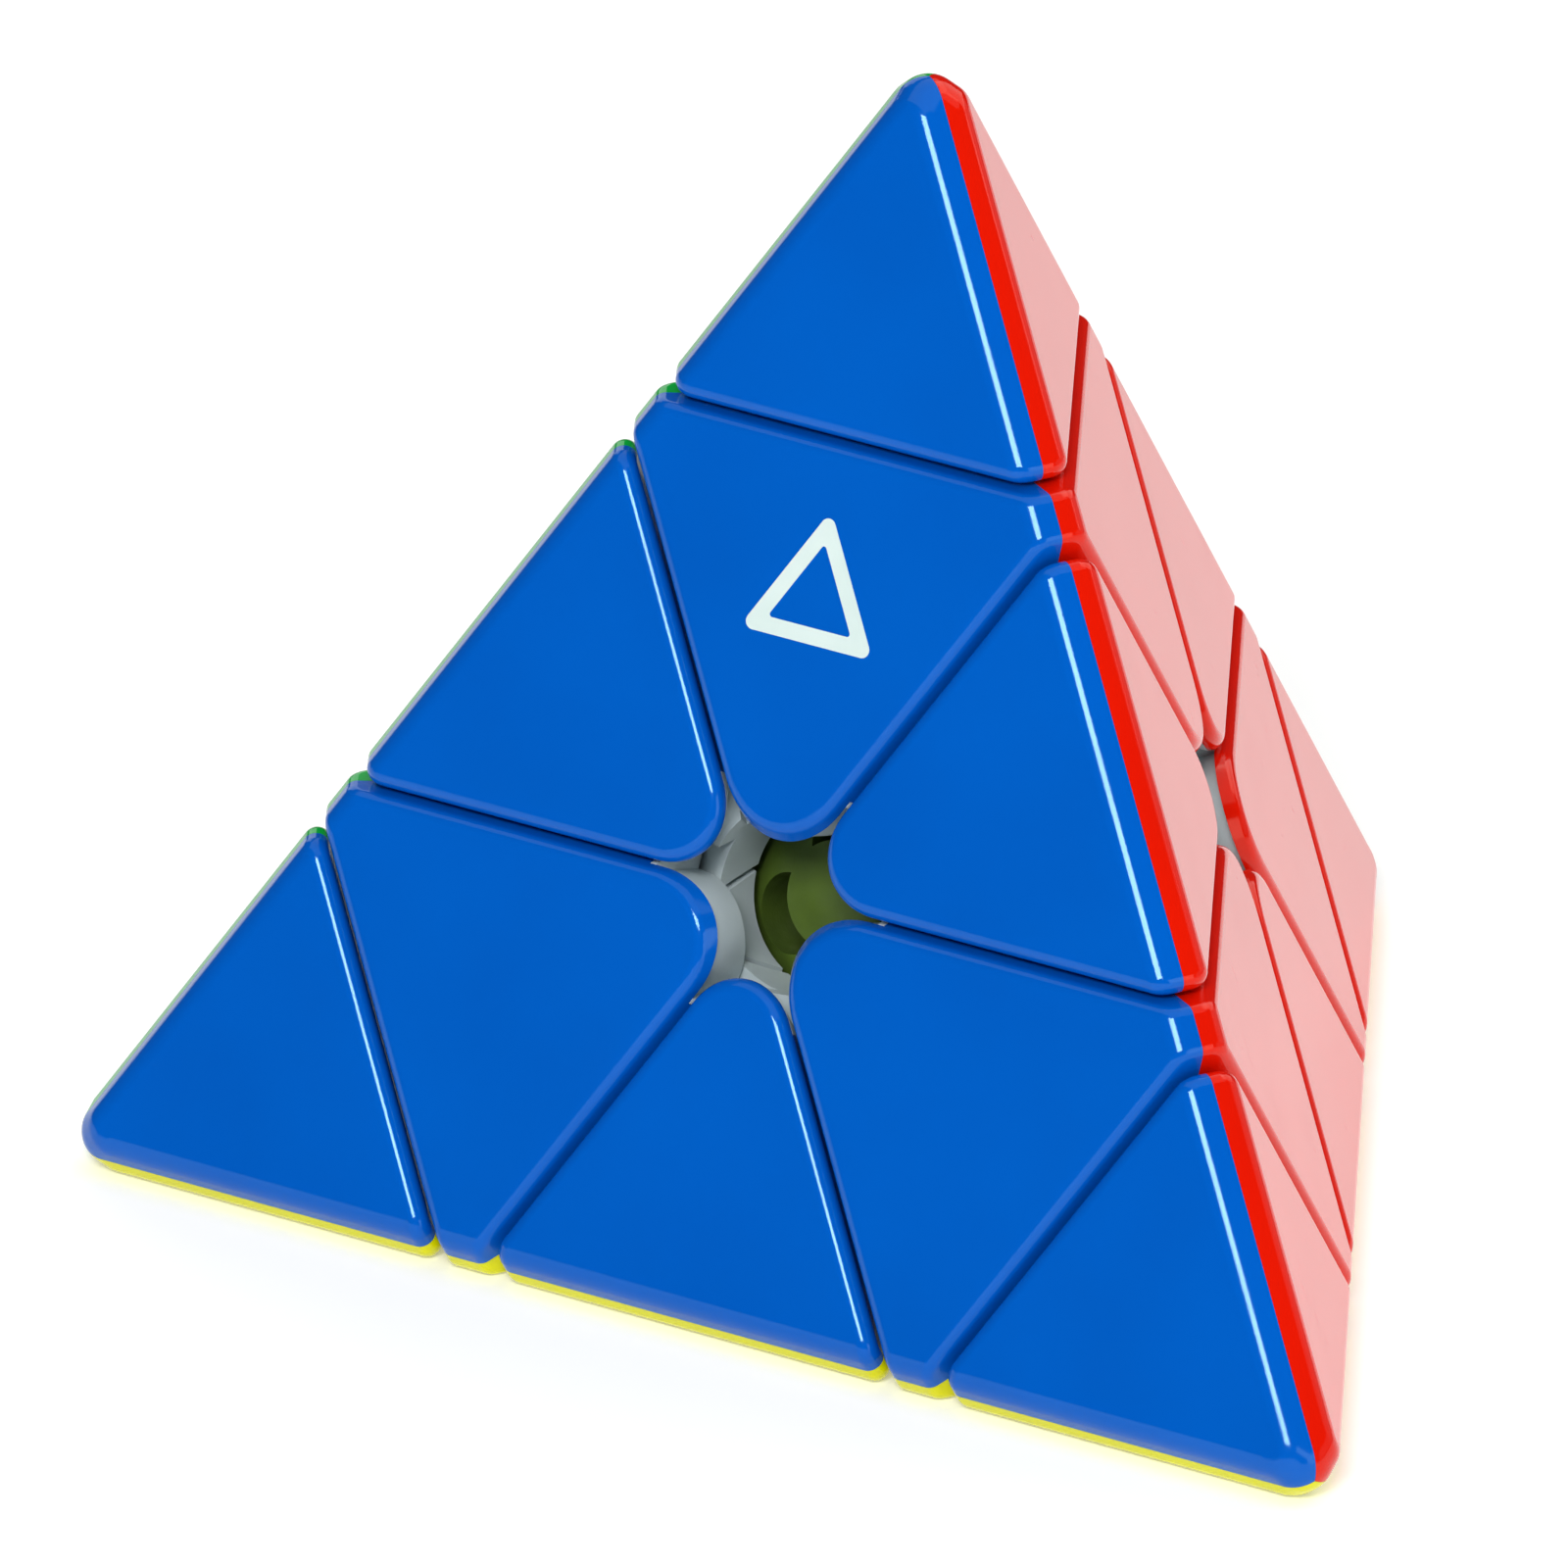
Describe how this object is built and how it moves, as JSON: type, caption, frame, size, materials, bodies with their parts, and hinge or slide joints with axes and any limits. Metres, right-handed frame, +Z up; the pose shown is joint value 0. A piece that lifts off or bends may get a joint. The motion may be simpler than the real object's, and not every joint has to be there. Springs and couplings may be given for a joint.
{
  "type": "pyramid twisty puzzle",
  "caption": "Four-sided pyramid puzzle of bevelled triangular pieces in four colours; corner tips twist and each corner's layer turns about a spring-loaded axis.",
  "frame": {"origin": "middle of the core, where the four turning axes meet, 21.2 mm above the resting face", "axes": "+Z up one turning axis to the top tip, -Y towards the blue face that the viewer sees, so the left tip is at 210 degrees and the right tip at 330 degrees about +Z"},
  "size_m": [0.0956, 0.0837, 0.0792],
  "materials": {
    "blue_plastic": "polished moulded, coloured through",
    "red_plastic": "polished moulded, coloured through",
    "green_plastic": "polished moulded, coloured through",
    "yellow_plastic": "polished moulded, coloured through",
    "frame_plastic": "satin off-white, moulded",
    "core_plastic": "satin olive green, moulded",
    "screw_steel": "zinc plated",
    "spring_steel": "bright drawn wire",
    "nut_plastic": "satin, moulded"
  },
  "bodies": {
    "core": {"core": "core_plastic", "axis_screws": "screw_steel", "tension_nuts": "nut_plastic", "tension_springs": "spring_steel"},
    "centre_top": {"centre_top_frame": "frame_plastic", "centre_top_red": "red_plastic", "centre_top_green": "green_plastic", "centre_top_blue": "blue_plastic"},
    "tip_top": {"tip_top_frame": "frame_plastic", "tip_top_red": "red_plastic", "tip_top_green": "green_plastic", "tip_top_blue": "blue_plastic"},
    "centre_left": {"centre_left_frame": "frame_plastic", "centre_left_yellow": "yellow_plastic", "centre_left_green": "green_plastic", "centre_left_blue": "blue_plastic"},
    "tip_left": {"tip_left_frame": "frame_plastic", "tip_left_yellow": "yellow_plastic", "tip_left_green": "green_plastic", "tip_left_blue": "blue_plastic"},
    "centre_right": {"centre_right_frame": "frame_plastic", "centre_right_yellow": "yellow_plastic", "centre_right_red": "red_plastic", "centre_right_blue": "blue_plastic"},
    "tip_right": {"tip_right_frame": "frame_plastic", "tip_right_yellow": "yellow_plastic", "tip_right_red": "red_plastic", "tip_right_blue": "blue_plastic"},
    "centre_back": {"centre_back_frame": "frame_plastic", "centre_back_yellow": "yellow_plastic", "centre_back_red": "red_plastic", "centre_back_green": "green_plastic"},
    "tip_back": {"tip_back_frame": "frame_plastic", "tip_back_yellow": "yellow_plastic", "tip_back_red": "red_plastic", "tip_back_green": "green_plastic"},
    "edge_top_left": {"edge_top_left_frame": "frame_plastic", "edge_top_left_green": "green_plastic", "edge_top_left_blue": "blue_plastic"},
    "edge_top_right": {"edge_top_right_frame": "frame_plastic", "edge_top_right_red": "red_plastic", "edge_top_right_blue": "blue_plastic"},
    "edge_top_back": {"edge_top_back_frame": "frame_plastic", "edge_top_back_red": "red_plastic", "edge_top_back_green": "green_plastic"},
    "edge_left_right": {"edge_left_right_frame": "frame_plastic", "edge_left_right_yellow": "yellow_plastic", "edge_left_right_blue": "blue_plastic"},
    "edge_left_back": {"edge_left_back_frame": "frame_plastic", "edge_left_back_yellow": "yellow_plastic", "edge_left_back_green": "green_plastic"},
    "edge_right_back": {"edge_right_back_frame": "frame_plastic", "edge_right_back_yellow": "yellow_plastic", "edge_right_back_red": "red_plastic"}
  },
  "joints": [
    {"name": "turn_top", "type": "hinge", "parent": "core", "child": "centre_top", "pos_m": [0, 0, 0], "axis": [0, 0, 1], "range_deg": [-240, 120]},
    {"name": "turn_left", "type": "hinge", "parent": "core", "child": "centre_left", "pos_m": [0, 0, 0], "axis": [-0.8165, -0.4714, -0.3333], "range_deg": [-240, 120]},
    {"name": "turn_right", "type": "hinge", "parent": "core", "child": "centre_right", "pos_m": [0, 0, 0], "axis": [0.8165, -0.4714, -0.3333], "range_deg": [-240, 120]},
    {"name": "turn_back", "type": "hinge", "parent": "core", "child": "centre_back", "pos_m": [0, 0, 0], "axis": [0, 0.9428, -0.3333], "range_deg": [-240, 120]},
    {"name": "follow_top_left", "type": "hinge", "parent": "centre_top", "child": "edge_top_left", "pos_m": [0, 0, 0], "axis": [-0.8165, -0.4714, -0.3333], "range_deg": [-240, 120]},
    {"name": "follow_top_right", "type": "hinge", "parent": "centre_top", "child": "edge_top_right", "pos_m": [0, 0, 0], "axis": [0.8165, -0.4714, -0.3333], "range_deg": [-240, 120]},
    {"name": "follow_top_back", "type": "hinge", "parent": "centre_top", "child": "edge_top_back", "pos_m": [0, 0, 0], "axis": [0, 0.9428, -0.3333], "range_deg": [-240, 120]},
    {"name": "follow_left_right", "type": "hinge", "parent": "centre_left", "child": "edge_left_right", "pos_m": [0, 0, 0], "axis": [0.8165, -0.4714, -0.3333], "range_deg": [-240, 120]},
    {"name": "follow_right_back", "type": "hinge", "parent": "centre_right", "child": "edge_right_back", "pos_m": [0, 0, 0], "axis": [0, 0.9428, -0.3333], "range_deg": [-240, 120]},
    {"name": "follow_left_back", "type": "hinge", "parent": "centre_back", "child": "edge_left_back", "pos_m": [0, 0, 0], "axis": [-0.8165, -0.4714, -0.3333], "range_deg": [-240, 120]},
    {"name": "twist_tip_top", "type": "hinge", "parent": "centre_top", "child": "tip_top", "pos_m": [0, 0, 0], "axis": [0, 0, 1], "continuous": true},
    {"name": "twist_tip_left", "type": "hinge", "parent": "centre_left", "child": "tip_left", "pos_m": [0, 0, 0], "axis": [-0.8165, -0.4714, -0.3333], "continuous": true},
    {"name": "twist_tip_right", "type": "hinge", "parent": "centre_right", "child": "tip_right", "pos_m": [0, 0, 0], "axis": [0.8165, -0.4714, -0.3333], "continuous": true},
    {"name": "twist_tip_back", "type": "hinge", "parent": "centre_back", "child": "tip_back", "pos_m": [0, 0, 0], "axis": [0, 0.9428, -0.3333], "continuous": true}
  ],
  "couplings": [
    {"joint": "follow_top_left", "follows": "turn_left", "ratio": 1},
    {"joint": "follow_top_right", "follows": "turn_right", "ratio": 1},
    {"joint": "follow_top_back", "follows": "turn_back", "ratio": 1},
    {"joint": "follow_left_right", "follows": "turn_right", "ratio": 1},
    {"joint": "follow_right_back", "follows": "turn_back", "ratio": 1},
    {"joint": "follow_left_back", "follows": "turn_left", "ratio": 1}
  ]
}
